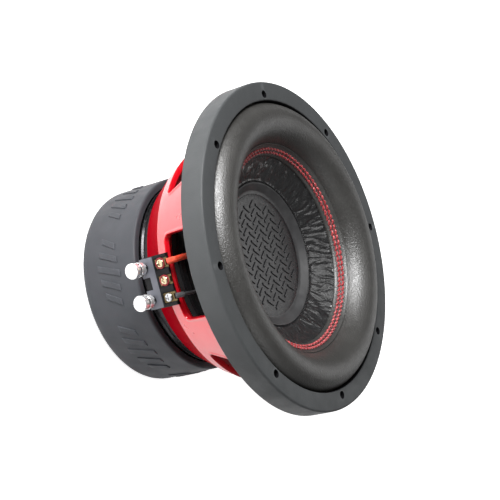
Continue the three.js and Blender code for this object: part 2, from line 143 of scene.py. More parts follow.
def rounded(outline, steps=5):
    """An outline of (r, z, cut) corners with each corner eased over a length of cut on both sides."""
    points = []
    count = len(outline)
    for i, (r, z, cut) in enumerate(outline):
        corner = Vector((r, z))
        if not cut:
            points.append(tuple(corner))
            continue
        before = Vector(outline[i - 1][:2]) - corner
        after = Vector(outline[(i + 1) % count][:2]) - corner
        start = corner + before.normalized() * cut
        end = corner + after.normalized() * cut
        for k in range(steps + 1):
            t = k / steps
            points.append(tuple(start * (1 - t) ** 2 + corner * 2 * t * (1 - t) + end * t**2))
    return points


def spun(outline, angles, closed=True, shift=None):
    """Points and faces of an outline turned about the axis; shift(r, z, a) may move each point."""
    rings = len(outline)
    points = []
    for a in angles:
        for r, z in outline:
            if shift:
                r, z = shift(r, z, a)
            points.append(polar(r, z, a))
    faces = []
    for j in range(len(angles)):
        k = (j + 1) % len(angles)
        for i in range(rings if closed else rings - 1):
            n = (i + 1) % rings
            faces.append((j * rings + i, k * rings + i, k * rings + n, j * rings + n))
    return points, faces


def even_angles(count):
    return [TAU * i / count for i in range(count)]


def turned(name, outline, segments=192, shift=None, sharp=35.0):
    return mesh_piece(name, *spun(outline, even_angles(segments), shift=shift), sharp=sharp)


def drill(piece, radius, low, high):
    """Cuts the mounting holes through a piece."""
    points, faces = [], []
    for i in range(HOLES):
        middle = math.radians(-90 + 360 * i / HOLES)
        base = len(points)
        sides = 24
        for z in (low, high):
            for a in even_angles(sides):
                x = HOLE_CIRCLE_R * math.cos(middle) + radius * math.cos(a)
                y = HOLE_CIRCLE_R * math.sin(middle) + radius * math.sin(a)
                points.append((x, y, z))
        for k in range(sides):
            n = (k + 1) % sides
            faces.append((base + k, base + n, base + sides + n, base + sides + k))
        faces.append(tuple(base + k for k in reversed(range(sides))))
        faces.append(tuple(base + sides + k for k in range(sides)))
    carve(piece, mesh_piece("drill", points, faces))


def carve(piece, cutter):
    """Cuts a closed shape out of a piece and removes the cutter."""
    modifier = piece.modifiers.new("carve", "BOOLEAN")
    modifier.object = cutter
    modifier.solver = "EXACT"
    modifier.use_self = True
    apply_modifiers(piece)
    bpy.data.objects.remove(cutter)
    piece.data.shade_smooth()
    piece.data.set_sharp_from_angle(angle=math.radians(35))


def brick(x, y, z):
    """Points and faces of a block between three pairs of limits."""
    points = [(a, b, c) for a in x for b in y for c in z]
    faces = [(0, 1, 3, 2), (4, 6, 7, 5), (0, 4, 5, 1), (2, 3, 7, 6), (0, 2, 6, 4), (1, 5, 7, 3)]
    return points, faces


def paint_shade_on_walls(piece, look):
    """The trim ring's hole walls and the wall of its bore take a second, black material: painted shade for
    the shadow inside the holes and in the gap round the surround.
    """
    piece.data.materials.append(look)
    step = TAU / HOLES
    for face in piece.data.polygons:
        middle = face.center / MM
        nearest = round((math.atan2(middle.y, middle.x) + math.pi / 2) / step) * step - math.pi / 2
        hub = Vector((HOLE_CIRCLE_R * math.cos(nearest), HOLE_CIRCLE_R * math.sin(nearest)))
        in_hole = (middle.xy - hub).length < HOLE_R + 0.1
        in_bore = middle.xy.length < RING_INNER_R + 0.5
        if (in_hole or in_bore) and abs(face.normal.z) < 0.5:
            face.material_index = 1


def apply_modifiers(piece):
    bpy.context.view_layer.update()
    evaluated = piece.evaluated_get(bpy.context.evaluated_depsgraph_get())
    made = bpy.data.meshes.new_from_object(evaluated)
    piece.modifiers.clear()
    piece.data = made


def swept(path, radius, sides=14, round_ends=True):
    """Points and faces of a tube along a path; radius is a number or a function of the share along it."""
    spots = [Vector(p) for p in path]
    side = None
    points, faces = [], []
    for i, spot in enumerate(spots):
        ahead = (spots[min(i + 1, len(spots) - 1)] - spots[max(i - 1, 0)]).normalized()
        if side is None:
            side = ahead.orthogonal().normalized()
        side = (side - ahead * side.dot(ahead)).normalized()
        up = ahead.cross(side)
        share = i / (len(spots) - 1)
        width = radius(share) if callable(radius) else radius
        for a in even_angles(sides):
            points.append(spot + (side * math.cos(a) + up * math.sin(a)) * width)
    for i in range(len(spots) - 1):
        for k in range(sides):
            n = (k + 1) % sides
            faces.append((i * sides + k, i * sides + n, (i + 1) * sides + n, (i + 1) * sides + k))
    if round_ends:
        faces.append(tuple(reversed(range(sides))))
        faces.append(tuple(range((len(spots) - 1) * sides, len(spots) * sides)))
    return [tuple(p) for p in points], faces


def spline(corners, steps=8):
    """A smooth path through the corners."""
    path = []
    ends = [corners[0]] + list(corners) + [corners[-1]]
    for a, b, c, d in zip(ends, ends[1:], ends[2:], ends[3:]):
        a, b, c, d = (Vector(p) for p in (a, b, c, d))
        slope = c - a
        square = 2 * a - 5 * b + 4 * c - d
        cube = 3 * b - a - 3 * c + d
        for k in range(steps):
            t = k / steps
            path.append(0.5 * (2 * b + slope * t + square * t**2 + cube * t**3))
    path.append(Vector(corners[-1]))
    return path


def gather(parts):
    """Joins several (points, faces) sets into one."""
    points, faces = [], []
    for some_points, some_faces in parts:
        base = len(points)
        points += some_points
        faces += [tuple(base + i for i in face) for face in some_faces]
    return points, faces


def pad(width, length, lean, height, place, steep=0.7):
    """A raised bar with eased edges: place(u, v, h) puts it on a surface, with its rim sunk below."""
    across = [-1.0, -0.94, -0.8, 0.0, 0.8, 0.94, 1.0]
    along = [-1.0, -0.97, -0.9, -0.45, 0.0, 0.45, 0.9, 0.97, 1.0]
    sunk = -0.5
    level = {1.0: sunk, 0.94: height * steep, 0.97: height * steep}
    points = []
    for t in along:
        for s in across:
            h = min(level.get(abs(s), height), level.get(abs(t), height))
            u = s * width / 2 + t * lean / 2
            points.append(place(u, t * length / 2, h))
    cols = len(across)
    faces = [
        (j * cols + i, j * cols + i + 1, (j + 1) * cols + i + 1, (j + 1) * cols + i)
        for j in range(len(along) - 1)
        for i in range(cols - 1)
    ]
    rows = len(along)
    rim = list(range(cols)) + [j * cols + cols - 1 for j in range(1, rows)]
    rim += [(rows - 1) * cols + i for i in reversed(range(cols - 1))]
    rim += [j * cols for j in reversed(range(1, rows - 1))]
    middle = len(points)
    points.append(place(0.0, 0.0, sunk))
    faces += [(b, a, middle) for a, b in zip(rim, rim[1:] + rim[:1])]
    return points, faces


# ---- Materials ----
class Look:
    """A Principled material whose patterns are sized in millimetres."""

    def __init__(self, name, colour, roughness, metallic=0.0, **inputs):
        self.material = bpy.data.materials.new(name)
        self.material.use_nodes = True
        self.tree = self.material.node_tree
        self.surface = self.tree.nodes["Principled BSDF"]
        self.colour = (*colour, 1.0)
        self.set("Base Color", self.colour)
        self.set("Roughness", roughness)
        self.set("Metallic", metallic)
        for key, value in inputs.items():
            self.set(key.replace("_", " "), value)
        self.height = None
        self.where = self.node("ShaderNodeTexCoord").outputs["Object"]

    def node(self, kind, **settings):
        made = self.tree.nodes.new(kind)
        for key, value in settings.items():
            setattr(made, key, value)
        return made

    def link(self, a, b):
        self.tree.links.new(a, b)

    def set(self, name, value):
        self.surface.inputs[name].default_value = value

    def at(self, size, stretch):
        mapping = self.node("ShaderNodeMapping")
        mapping.inputs["Scale"].default_value = [1000.0 / size / s for s in stretch]
        self.link(self.where, mapping.inputs["Vector"])
        return mapping.outputs["Vector"]

    def noise(self, size, detail=3.0, distortion=0.0, stretch=(1, 1, 1)):
        made = self.node("ShaderNodeTexNoise")
        made.inputs["Scale"].default_value = 1.0
        made.inputs["Detail"].default_value = detail
        made.inputs["Distortion"].default_value = distortion
        self.link(self.at(size, stretch), made.inputs["Vector"])
        return made.outputs["Fac"]

    def cells(self, size, feature="F1", stretch=(1, 1, 1)):
        made = self.node("ShaderNodeTexVoronoi", feature=feature)
        made.inputs["Scale"].default_value = 1.0
        self.link(self.at(size, stretch), made.inputs["Vector"])
        return made.outputs["Distance"]

    def span(self, value, low, high, out_low, out_high):
        made = self.node("ShaderNodeMapRange")
        for key, number in zip(("From Min", "From Max", "To Min", "To Max"), (low, high, out_low, out_high)):
            made.inputs[key].default_value = number
        self.link(value, made.inputs["Value"])
        return made.outputs["Result"]

    def times(self, a, b):
        made = self.node("ShaderNodeMath", operation="MULTIPLY")
        self.link(a, made.inputs[0])
        self.link(b, made.inputs[1])
        return made.outputs[0]

    def tint(self, mask, colour):
        """Blends towards another colour where mask is 1."""
        made = self.node("ShaderNodeMix", data_type="RGBA")
        source = self.surface.inputs["Base Color"]
        if source.links:
            self.link(source.links[0].from_socket, made.inputs["A"])
        else:
            made.inputs["A"].default_value = self.colour
        made.inputs["B"].default_value = (*colour, 1.0)
        self.link(mask, made.inputs["Factor"])
        self.link(made.outputs["Result"], source)
        return self

    def polish(self, value):
        self.link(value, self.surface.inputs["Roughness"])
        return self

    def bump(self, value, depth, strength=1.0):
        made = self.node("ShaderNodeBump")
        made.inputs["Distance"].default_value = depth * MM
        made.inputs["Strength"].default_value = strength
        self.link(value, made.inputs["Height"])
        if self.height:
            self.link(self.height, made.inputs["Normal"])
        self.height = made.outputs["Normal"]
        self.link(self.height, self.surface.inputs["Normal"])
        return self

    def wear(self, colour, amount=0.6):
        """A lighter tint along convex edges."""
        geometry = self.node("ShaderNodeNewGeometry")
        edge = self.span(geometry.outputs["Pointiness"], 0.53, 0.62, 0.0, amount)
        broken = self.span(self.noise(6.0), 0.4, 0.65, 0.3, 1.0)
        return self.tint(self.times(edge, broken), colour)


def moulded_rubber(name, colour, light, size=0.9, depth=0.05):
    look = Look(name, colour, 0.55, Specular_IOR_Level=0.35)
    patches = look.span(look.noise(38.0, 4.0), 0.35, 0.7, 0.0, 0.5)
    look.tint(patches, light)
    look.polish(look.span(look.noise(14.0, 4.0), 0.3, 0.7, 0.5, 0.66))
    look.bump(look.noise(size * 6, 4.0), depth * 2.2)
    look.bump(look.cells(size), depth)
    return look.wear(tuple(min(1, c * 2.0) for c in light)).material


def grained_surround():
    look = Look("surround_rubber", (0.028, 0.027, 0.025), 0.36, Specular_IOR_Level=1.0)
    look.tint(look.span(look.noise(26.0, 4.0), 0.4, 0.72, 0.0, 0.7), (0.042, 0.041, 0.038))
    look.polish(look.span(look.noise(5.0, 4.0), 0.3, 0.7, 0.32, 0.44))
    look.bump(look.noise(1.8, 5.0), 0.3)
    look.bump(look.cells(1.0), 0.16)
    return look.material


def crumpled_pulp():
    look = Look("cone_pulp", (0.003, 0.003, 0.0035), 0.32, Coat_Weight=1.0, Coat_Roughness=0.08)
    look.tint(look.span(look.noise(9.0, 5.0), 0.45, 0.75, 0.0, 0.8), (0.008, 0.008, 0.0085))
    look.polish(look.span(look.noise(4.0, 4.0), 0.3, 0.7, 0.28, 0.4))
    look.bump(look.noise(2.4, 5.0, 2.4), 0.55)
    look.bump(look.noise(1.0, 3.0), 0.14)
    return look.material


def cap_coating(name, colour, roughness):
    look = Look(name, colour, roughness, Coat_Weight=0.3, Coat_Roughness=0.2)
    look.tint(look.span(look.noise(12.0, 4.0), 0.45, 0.7, 0.0, 0.6), tuple(c * 1.8 for c in colour))
    look.polish(look.span(look.noise(3.5, 4.0), 0.3, 0.7, roughness - 0.08, roughness + 0.1))
    look.bump(look.noise(1.4, 4.0), 0.05)
    return look.material


def thread(name, colour, painted_glint):
    look = Look(name, colour, 0.35, Sheen_Weight=0.4)
    # Painted highlight: noise flecks of a lighter red stand in for glints on the thread.
    look.tint(look.span(look.noise(1.6, 3.0), 0.48, 0.62, 0.0, 0.9), painted_glint)
    look.bump(look.noise(0.5, 2.0), 0.12)
    return look.material


def glossy_red():
    look = Look(
        "red_paint",
        (0.7, 0.002, 0.012),
        0.34,
        0.15,
        IOR=1.6,
        Coat_Weight=0.8,
        Coat_Roughness=0.14,
        Coat_IOR=1.7,
    )
    look.tint(look.span(look.noise(60.0, 3.0), 0.4, 0.7, 0.0, 0.4), (0.42, 0.002, 0.01))
    # Painted shade: below the wall's foot the red turns darker for the shaded foot band, and it loses its
    # coat and most of its specular.
    split = look.node("ShaderNodeSeparateXYZ")
    look.link(look.where, split.inputs["Vector"])
    edge = in_frame((0, 0, WALL_FOOT[1] - 0.6)).z
    below = look.span(split.outputs["Z"], edge + 0.4 * MM, edge - 0.4 * MM, 0.0, 1.0)
    look.tint(below, (0.3, 0.0, 0.006))
    look.link(look.span(below, 0.0, 1.0, 0.8, 0.0), look.surface.inputs["Coat Weight"])
    look.link(look.span(below, 0.0, 1.0, 0.5, 0.0), look.surface.inputs["Specular IOR Level"])
    look.polish(look.span(look.noise(10.0, 5.0), 0.3, 0.7, 0.27, 0.36))
    look.bump(look.noise(5.0, 3.0), 0.02)
    return look.material


def metal(name, colour, roughness, brushed=0.0, metallic=1.0):
    look = Look(name, colour, roughness, metallic)
    look.polish(look.span(look.noise(5.0, 5.0), 0.3, 0.75, roughness * 0.7, roughness * 1.5 + 0.03))
    look.tint(look.span(look.noise(18.0, 4.0), 0.5, 0.75, 0.0, 0.35), tuple(c * 0.7 for c in colour))
    if brushed:
        look.bump(look.noise(1.0, 3.0, stretch=(1, 1, 8)), brushed)
    return look.material


def plastic(name, colour, roughness=0.42, shine=0.5):
    look = Look(name, colour, roughness, Specular_IOR_Level=shine)
    look.tint(look.span(look.noise(16.0, 4.0), 0.45, 0.72, 0.0, 0.5), tuple(c * 1.35 + 0.002 for c in colour))
    look.polish(look.span(look.noise(6.0, 4.0), 0.3, 0.7, roughness - 0.06, roughness + 0.1))
    look.bump(look.noise(0.7, 3.0), 0.03)
    return look.wear(tuple(min(1, c * 2 + 0.015) for c in colour), 0.4).material


def ceramic():
    look = Look("ferrite", (0.045, 0.045, 0.05), 0.75)
    look.tint(look.span(look.noise(2.0, 5.0), 0.5, 0.75, 0.0, 0.6), (0.09, 0.09, 0.095))
    look.bump(look.noise(1.5, 5.0), 0.12)
    return look.material


def cloth(name, colour, light):
    """A plain weave of crossing yarns."""
    look = Look(name, colour, 0.8, Sheen_Weight=0.2)
    for turn in ("X", "Y"):
        wave = look.node("ShaderNodeTexWave", bands_direction=turn)
        wave.inputs["Scale"].default_value = 0.35
        wave.inputs["Distortion"].default_value = 0.6
        look.link(look.at(1.0, (1, 1, 1)), wave.inputs["Vector"])
        look.bump(wave.outputs["Fac"], 0.2, 0.7)
    look.tint(look.span(look.noise(9.0, 4.0), 0.45, 0.7, 0.0, 0.7), light)
    return look.material


def sleeve(name, colour, light):
    """A braided sleeve: two slanting sets of ridges."""
    look = Look(name, colour, 0.5)
    for direction in ("X", "Z"):
        wave = look.node("ShaderNodeTexWave", bands_direction=direction)
        wave.inputs["Scale"].default_value = 0.3
        wave.inputs["Distortion"].default_value = 1.2
        look.link(look.at(1.0, (1, 1, 1)), wave.inputs["Vector"])
        look.bump(wave.outputs["Fac"], 0.25, 0.8)
    look.tint(look.span(look.noise(4.0, 4.0), 0.45, 0.7, 0.0, 0.8), light)
    return look.material


def wound_wire():
    look = Look("copper", (0.62, 0.22, 0.09), 0.3, 0.9)
    wave = look.node("ShaderNodeTexWave", bands_direction="Z")
    wave.inputs["Scale"].default_value = 0.32
    look.link(look.at(1.0, (1, 1, 1)), wave.inputs["Vector"])
    look.bump(wave.outputs["Fac"], 0.4)
    look.tint(look.span(look.noise(7.0, 3.0), 0.4, 0.7, 0.0, 0.6), (0.4, 0.12, 0.05))
    return look.material


TRIM = moulded_rubber("trim_rubber", (0.05, 0.053, 0.055), (0.062, 0.066, 0.068))
BOOT = moulded_rubber("boot_rubber", (0.044, 0.047, 0.054), (0.054, 0.058, 0.066), 1.1, 0.04)
SURROUND = grained_surround()
PULP = crumpled_pulp()
CAP = cap_coating("cap_coated", (0.007, 0.007, 0.008), 0.28)
CAP_BAND = cap_coating("cap_band", (0.036, 0.036, 0.037), 0.36)
# The last colour is the thread's painted highlight.
THREAD = thread("red_thread", (0.27, 0.005, 0.012), (0.62, 0.09, 0.09))
RED = glossy_red()
BLACK_STEEL = metal("black_steel", (0.035, 0.034, 0.036), 0.22)
BARE_STEEL = metal("bare_steel", (0.56, 0.57, 0.58), 0.3, 0.03)
CHROME = metal("chrome", (0.95, 0.95, 0.96), 0.1, metallic=0.7)
BRASS = metal("brass", (0.6, 0.5, 0.33), 0.16, 0.02)
DULL_BRASS = metal("dull_brass", (0.16, 0.12, 0.06), 0.4, 0.02)
BLACK_PLASTIC = plastic("black_plastic", (0.005, 0.005, 0.006), shine=0.2)
GREY_PLASTIC = plastic("grey_plastic", (0.11, 0.114, 0.134), 0.5)
RED_PLASTIC = plastic("red_plastic", (0.24, 0.006, 0.014), 0.35)
FERRITE = ceramic()
SPIDER = cloth("spider_cloth", (0.004, 0.0045, 0.006), (0.01, 0.011, 0.015))
FOAM = cloth("gasket_foam", (0.02, 0.02, 0.02), (0.035, 0.035, 0.035))
COPPER = wound_wire()
FORMER = metal("former_black", (0.05, 0.045, 0.042), 0.35)
RED_SLEEVE = sleeve("red_sleeve", (0.72, 0.055, 0.02), (0.9, 0.16, 0.08))
GREY_SLEEVE = sleeve("grey_sleeve", (0.05, 0.05, 0.053), (0.11, 0.11, 0.12))


# ---- Front: trim ring and surround ----
def trim_ring():
    outline = rounded(
        [
            (RING_INNER_R, LIP_Z + 2.3, 0.4),
            (LIP_R + 0.3, LIP_Z + 2.3, 0),
            (LIP_R + 0.3, LIP_Z, 0),
            (FLANGE_R + 0.3, LIP_Z, 0),
            (FLANGE_R + 0.3, SKIRT_Z, 0.6),
            (FRONT_R, SKIRT_Z, 0.8),
            (FRONT_R, FRONT_Z, 2.4),
            (RING_INNER_R, FRONT_Z, 1.8),
        ]
    )
    piece = turned("moulded_trim_ring", outline, 256)
    drill(piece, HOLE_R, LIP_Z - 2, FRONT_Z + 2)
    dress(piece, FIXED, "trim_rubber", TRIM, "trim_ring")
    # The hole walls and the bore wall get painted shade: black in place of their shadow.
    paint_shade_on_walls(piece, BLACK_PLASTIC)


def cone_z(r):
    return CONE_REST_Z + (r - CAP_R) * CONE_SLOPE


ROLL_OUTER, ROLL_OUTER_Z, ROLL_CREST = 140.0, 180.5, 16.0
ROLL_LEAN = math.radians(20)
LIP_LIFT = 2.4  # the surround's inner lip stands this far off the cone


def roll_face(offset, steps=40):
    """The half roll's face, from its outer foot over the crest to its inner foot."""
    inner_z = cone_z(INNER_LIP_R[1]) + LIP_LIFT
    middle = (ROLL_OUTER + INNER_LIP_R[1]) / 2
    half = (ROLL_OUTER - INNER_LIP_R[1]) / 2
    face = []
    for i in range(steps + 1):
        a = ROLL_LEAN + (math.pi - 2 * ROLL_LEAN) * i / steps
        across = math.cos(a) / math.cos(ROLL_LEAN)
        rise = (math.sin(a) - math.sin(ROLL_LEAN)) / (1 - math.sin(ROLL_LEAN))
        tilt = (ROLL_OUTER_Z - inner_z) / 2 * across
        base = (ROLL_OUTER_Z + inner_z) / 2
        face.append((middle + (half - offset) * across, base + tilt + (ROLL_CREST - offset) * rise))
    return face


def smooth(t):
    t = min(1.0, max(0.0, t))
    return t * t * (3 - 2 * t)


def bend_between(piece):
    """Bakes the piece's placement into its mesh."""
    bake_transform(piece)


def surround():
    lip_in, lip_out = INNER_LIP_R
    step = 1.1  # a small ridge where the roll meets the flat lip
    outline = [
        (LIP_R, LIP_Z + 0.3),
        (LIP_R, LIP_Z + 2),
        (ROLL_OUTER + 0.6, LIP_Z + 2),
        (ROLL_OUTER, LIP_Z + 2.8),
        *roll_face(0),
        (lip_out - 0.2, cone_z(lip_out) + LIP_LIFT + step * 0.4),
        (lip_out - 0.6, cone_z(lip_out - 0.6) + LIP_LIFT + step),
        (lip_out - 1.2, cone_z(lip_out - 1.2) + LIP_LIFT + step),
        (lip_out - 1.7, cone_z(lip_out - 1.7) + LIP_LIFT + step * 0.3),
        (lip_out - 2.2, cone_z(lip_out - 2.2) + LIP_LIFT),
        (lip_in + 1.6, cone_z(lip_in + 1.6) + LIP_LIFT),
        (lip_in + 0.5, cone_z(lip_in + 0.5) + LIP_LIFT - 0.3),
        (lip_in, cone_z(lip_in) + LIP_LIFT - 0.9),
        (lip_in, cone_z(lip_in) + 0.4),
        (lip_out + 1, cone_z(lip_out + 1) + 0.4),
        *reversed(roll_face(2.0)),
        (ROLL_OUTER - 2, LIP_Z + 0.3),
    ]
    piece = turned("rolled_surround", outline, 240)
    dress(piece, None, "surround_rubber", SURROUND, "surround")
    bend_between(piece)


# ---- Moving assembly: cone, dust cap, stitches ----
def crease(spot):
    """0 along sharp folds and 1 on the smooth ground between them."""
    return min(1.0, 2.6 * abs(noise.noise(spot)))


def cone():
    neck = FORMER_R + 0.3
    rim = CONE_RIM_R
    girth = 86.0  # mean radius of the face that shows

    def crumple(r, z, a):
        """Dents and mostly radial creases on the cone's face, fading out at its two glued edges."""
        fade = smooth((r - CAP_R - 0.6) / 3) * smooth((INNER_LIP_R[0] + 3 - r) / 3)
        if fade == 0.0:
            return r, z
        sway = 0.05 * noise.noise(Vector(polar(r, 0, a)) / 17.0)
        x, y, _ = polar(girth, 0, a + sway)
        folds = 1 - crease(Vector((x / 6.5, y / 6.5, r / 17.0)))
        pleats = 1 - crease(Vector((x / 3.2, y / 3.2, r / 8.0 + 5)))
        dents = abs(noise.noise(Vector((x / 19.0, y / 19.0, r / 19.0))))
        return r, z - fade * (0.95 * folds + 0.45 * pleats + 1.3 * dents)

    face = [(r, cone_z(r)) for r in (neck, 50, 60, CAP_R)]
    face += [(r, cone_z(r)) for r in np.linspace(CAP_R + 0.5, rim, 52)]
    back = [(r, cone_z(r) - 1.6) for r in np.linspace(rim, neck + 1.5, 12)]
    foot = [(neck + 1.5, cone_z(neck) - 6), (neck, cone_z(neck) - 6)]
    piece = turned("pressed_cone", face + back + foot, 720, crumple, sharp=70.0)
    dress(piece, MOVING, "cone_pulp", PULP, "cone")


DISH_R = 62.0


def dish_z(r):
    return 139.6 + 2.4 * (r / DISH_R) ** 2


def dust_cap():
    """A sloping band that carries on down the cone, and a shallow hollow face inside it."""
    thickness = 1.3
    low_r, high_r = DISH_R + 1.2, CAP_R - 0.8
    face = [(r, dish_z(r), 0) for r in np.linspace(0, DISH_R - 3, 16)]
    rim = [
        (DISH_R - 0.6, dish_z(DISH_R - 0.6), 0.9),
        (low_r, cone_z(low_r) + 0.4 + thickness, 0.7),
        (high_r, cone_z(high_r) + 0.4 + thickness, 0.8),
        (CAP_R, cone_z(CAP_R) + 0.4, 0.2),
        (DISH_R + 0.4, cone_z(DISH_R + 0.4) + 0.4, 0),
    ]
    back = [(r, dish_z(r) - thickness, 0) for r in np.linspace(DISH_R - 1.2, 0, 16)]
    piece = turned("dished_cap", rounded(face + rim + back), 220, sharp=50.0)
    dress(piece, MOVING, "cap_coated", CAP_BAND, "dust_cap")


def cap_face():
    """The cap's hollow face is a darker skin with rows of raised slanting bars, alternating row by row."""
    skin = [(r, dish_z(r) + 0.35) for r in np.linspace(0, DISH_R - 2.4, 16)]
    skin += [(DISH_R - 1.9, dish_z(DISH_R) + 0.1), (DISH_R - 1.8, dish_z(DISH_R) - 0.6), (0, 139.2)]
    parts = [spun(skin, even_angles(180))]
    row_height, pitch, limit = 10.8, 8.4, DISH_R - 8.0
    rows = int(limit // row_height)
    for row in range(-rows, rows + 1):
        middle = row * row_height
        columns = int(limit // pitch)
        for column in range(-columns, columns + 1):
            u = (column + 0.5 * (row % 2)) * pitch
            if math.hypot(u, middle) > limit:
                continue
            lean = 5.6 if row % 2 else -5.6

            def on_dish(x, y, h, u=u, middle=middle):
                r = math.hypot(u + x, middle + y)
                return (u + x, middle + y, dish_z(r) + 0.35 + h)

            parts.append(pad(2.4, 8.0, lean, 0.9, on_dish))
    piece = mesh_piece("cap_relief", *gather(parts), sharp=30.0)
    dress(piece, MOVING, "cap_coated", CAP)


def seam_beads():
    """A fine corded seam round the cap's foot."""
    parts = []
    count = 210
    for i in range(count):
        a = TAU * i / count
        r = CAP_R + 0.9
        spots = [Vector(polar(r, cone_z(r) + 0.35, a + d * TAU / count * 0.36)) for d in (-1, 0, 1)]
        parts.append(swept(spots, lambda share: 0.34 + 0.34 * math.sin(math.pi * share), 6))
    piece = mesh_piece("cap_seam", *gather(parts))
    dress(piece, MOVING, "cone_pulp", CAP)


def stitch_row(name, radius, node):
    """Separate stitches that dip into the lip at both ends."""
    parts = []
    pitch = 5.4
    count = int(TAU * radius / pitch)
    top = cone_z(radius) + LIP_LIFT
    for i in range(count):
        middle = TAU * i / count
        spots = []
        for k in range(7):
            t = k / 6
            a = middle + (t - 0.5) * TAU / count * 0.94
            r = radius + (t - 0.5) * 1.1
            z = top + (r - radius) * CONE_SLOPE - 0.9 + 1.7 * math.sin(math.pi * t) ** 0.6
            spots.append(polar(r, z, a))
        parts.append(swept(spots, lambda share: 0.6 + 0.65 * math.sin(math.pi * share) ** 0.5, 8))
    piece = mesh_piece(name, *gather(parts))
    dress(piece, MOVING, "red_thread", THREAD, node)


# ---- Suspension ----
def spider(name, z, node):
    inner, folds, thickness = FORMER_R + 0.3, 6.5, 0.8
    first, last = inner + 6, 84.6

    def height(r):
        if r < first or r > last:
            return z
        return z + 1.2 - 1.2 * math.cos(TAU * folds * (r - first) / (last - first))

    radii = list(np.linspace(inner, 91.0, 110))
    outline = [(r, height(r)) for r in radii] + [(r, height(r) + thickness) for r in reversed(radii)]
    piece = turned(name, outline, 144, sharp=60.0)
    dress(piece, None, "spider_cloth", SPIDER, node)
    bend_between(piece)


# ---- Basket ----
SLANT = Vector((WALL_HEAD[0] - WALL_FOOT[0], WALL_HEAD[1] - WALL_FOOT[1])).normalized()


def wall_point(angle, z, inset):
    """A point of the flared wall, by height on its outer face and depth below that face."""
    r = WALL_FOOT[0] + (z - WALL_FOOT[1]) * SLANT.x / SLANT.y
    return polar(r - inset * SLANT.y, z + inset * SLANT.x, angle)


def window_loop(half, low, high, corner, runs):
    """A loop with eased corners round a window, as (offset, height) pairs, from its bottom left diagonal."""

    def bend(centre, centre_z, start, share):
        turn = start + math.pi / 2 * share
        return (centre + corner * math.cos(turn), centre_z + corner * math.sin(turn))

    left, right = corner - half, half - corner
    bottom, top = low + corner, high - corner
    arcs = [
        (left, bottom, math.pi),
        (right, bottom, 1.5 * math.pi),
        (right, top, 0.0),
        (left, top, 0.5 * math.pi),
    ]
    loop = []
    for i, count in enumerate(runs):
        here, ahead = arcs[i], arcs[(i + 1) % 4]
        eased = 4
        side = [bend(*here, 0.5 + 0.5 * k / eased) for k in range(eased)]
        start, end = bend(*here, 1.0), bend(*ahead, 0.0)
        straight = count - 2 * eased
        side += [
            (start[0] + (end[0] - start[0]) * k / straight, start[1] + (end[1] - start[1]) * k / straight)
            for k in range(straight)
        ]
        side += [bend(*ahead, 0.5 * k / eased) for k in range(eased)]
        loop += side
    return loop


def border_loop(half, low, high, runs):
    """The sector's own edge, with one point for each point of the window's loop."""
    corners = [(-half, low), (half, low), (half, high), (-half, high)]
    loop = []
    for i, count in enumerate(runs):
        (a0, z0), (a1, z1) = corners[i], corners[(i + 1) % 4]
        loop += [(a0 + (a1 - a0) * k / count, z0 + (z1 - z0) * k / count) for k in range(count)]
    return loop


def basket_sector(middle, low, high, runs):
    """One sixth of the wall with its window: outer face, rounded lip and inner face."""
    window = []
    for offset, z in window_loop(WINDOW_HALF_W, *WINDOW_Z, 6.0, runs):
        wall_r = WALL_FOOT[0] + (z - WALL_FOOT[1]) * SLANT.x / SLANT.y
        window.append((math.asin(offset / wall_r), z))
    border = border_loop(math.pi / SPOKES, low, high, runs)
    swell = 0.9  # the lip stands slightly proud of the wall
    stages = [(share, 0.0) for share in (0.0, 0.3, 0.6, 0.8)]
    stages += [(0.86, 0.0), (0.9, -swell * 0.6), (0.94, -swell), (0.975, -swell * 0.85)]
    stages += [(0.995, -swell * 0.2), (1.0, WALL_T * 0.25), (1.0, WALL_T * 0.8)]
    stages += [(0.98, WALL_T + swell * 0.5), (0.94, WALL_T), (0.8, WALL_T), (0.4, WALL_T), (0.0, WALL_T)]
    points = []
    for share, inset in stages:
        for (wa, wz), (ba, bz) in zip(window, border):
            angle = middle + ba + (wa - ba) * share
            points.append(wall_point(angle, bz + (wz - bz) * share, inset))
    count = len(window)
    faces = []
    for j in range(len(stages) - 1):
        for k in range(count):
            n = (k + 1) % count
            faces.append((j * count + k, j * count + n, (j + 1) * count + n, (j + 1) * count + k))
    return points, faces


def basket():
    low, high = 102.5, 163.0
    runs = (30, 24, 30, 24)
    middles = [math.radians(-90 + 360 * i / SPOKES) for i in range(SPOKES)]
    parts = [basket_sector(m, low, high, runs) for m in middles]
    steps = SPOKES * runs[0]
    angles = [middles[0] - math.pi / SPOKES + TAU * i / steps for i in range(steps)]

    def on_wall(z, inset):
        x, y, height = wall_point(0.0, z, inset)
        return (math.hypot(x, y), height)

    outer_foot, inner_foot = on_wall(low, 0), on_wall(low, WALL_T)
    foot = rounded(
        [
            (*outer_foot, 0),
            (*WALL_FOOT, 0.7),
            (95.0, BASKET_Z + 1.0, 0.6),
            (94.0, BASKET_Z, 0.6),
            (56.0, BASKET_Z, 0.6),
            (56.0, BASKET_Z + SEAT_T, 0.6),
            (83.0, BASKET_Z + SEAT_T, 1.0),
            (84.0, 92.0, 0.4),
            (91.6, 92.0, 0.3),
            (91.6, 100.4, 0.8),
            (inner_foot[0] - 3.0, 100.4, 1.2),
            (*inner_foot, 0),
        ]
    )
    outer_head, inner_head = on_wall(high, 0), on_wall(high, WALL_T)
    head = rounded(
        [
            (*outer_head, 0),
            (WALL_HEAD[0], FLANGE_Z, 1.0),
            (FLANGE_R, FLANGE_Z, 0.6),
            (FLANGE_R, FLANGE_Z + FLANGE_T, 0.6),
            (WALL_HEAD[0] - 3, FLANGE_Z + FLANGE_T, 0.8),
            (*inner_head, 0),
        ]
    )
    parts.append(spun(foot, angles, closed=False))
    parts.append(spun(head, angles, closed=False))
    piece = mesh_piece("painted_basket", *gather(parts), sharp=40.0)
    dress(piece, FIXED, "red_paint", RED, "basket")


